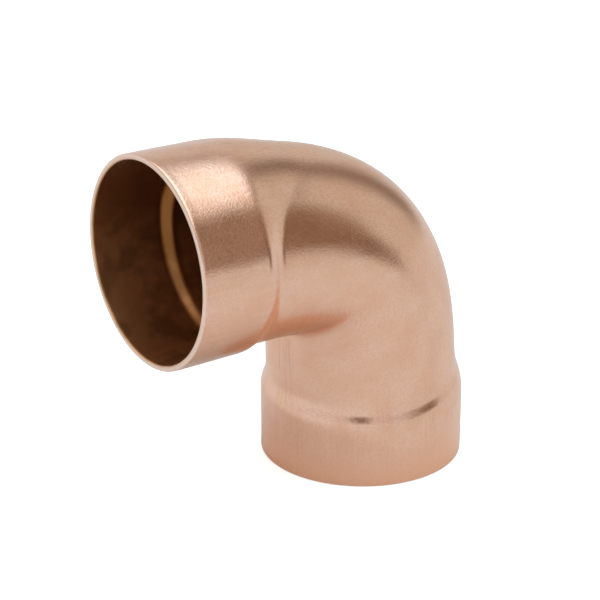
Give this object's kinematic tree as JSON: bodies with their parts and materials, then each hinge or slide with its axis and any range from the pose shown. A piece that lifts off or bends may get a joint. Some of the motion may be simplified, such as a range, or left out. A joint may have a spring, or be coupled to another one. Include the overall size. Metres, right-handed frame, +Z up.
{
  "type": "pipe elbow",
  "caption": "Wrought copper 90 degree pipe elbow with a close turn and a short solder socket at each end.",
  "frame": {"origin": "middle of the base of the bounding box, in the plane of the lower socket's rim", "axes": "+Z up along the lower socket, which opens towards -Z; the upper socket opens towards -X; the bend lies in the XZ plane, so Y is across it"},
  "size_m": [0.0648, 0.0376, 0.0648],
  "materials": {
    "copper": "satin bare copper, softly drawn and wiped, with bright cut rims"
  },
  "bodies": {
    "root": {"elbow": "copper"}
  },
  "joints": []
}
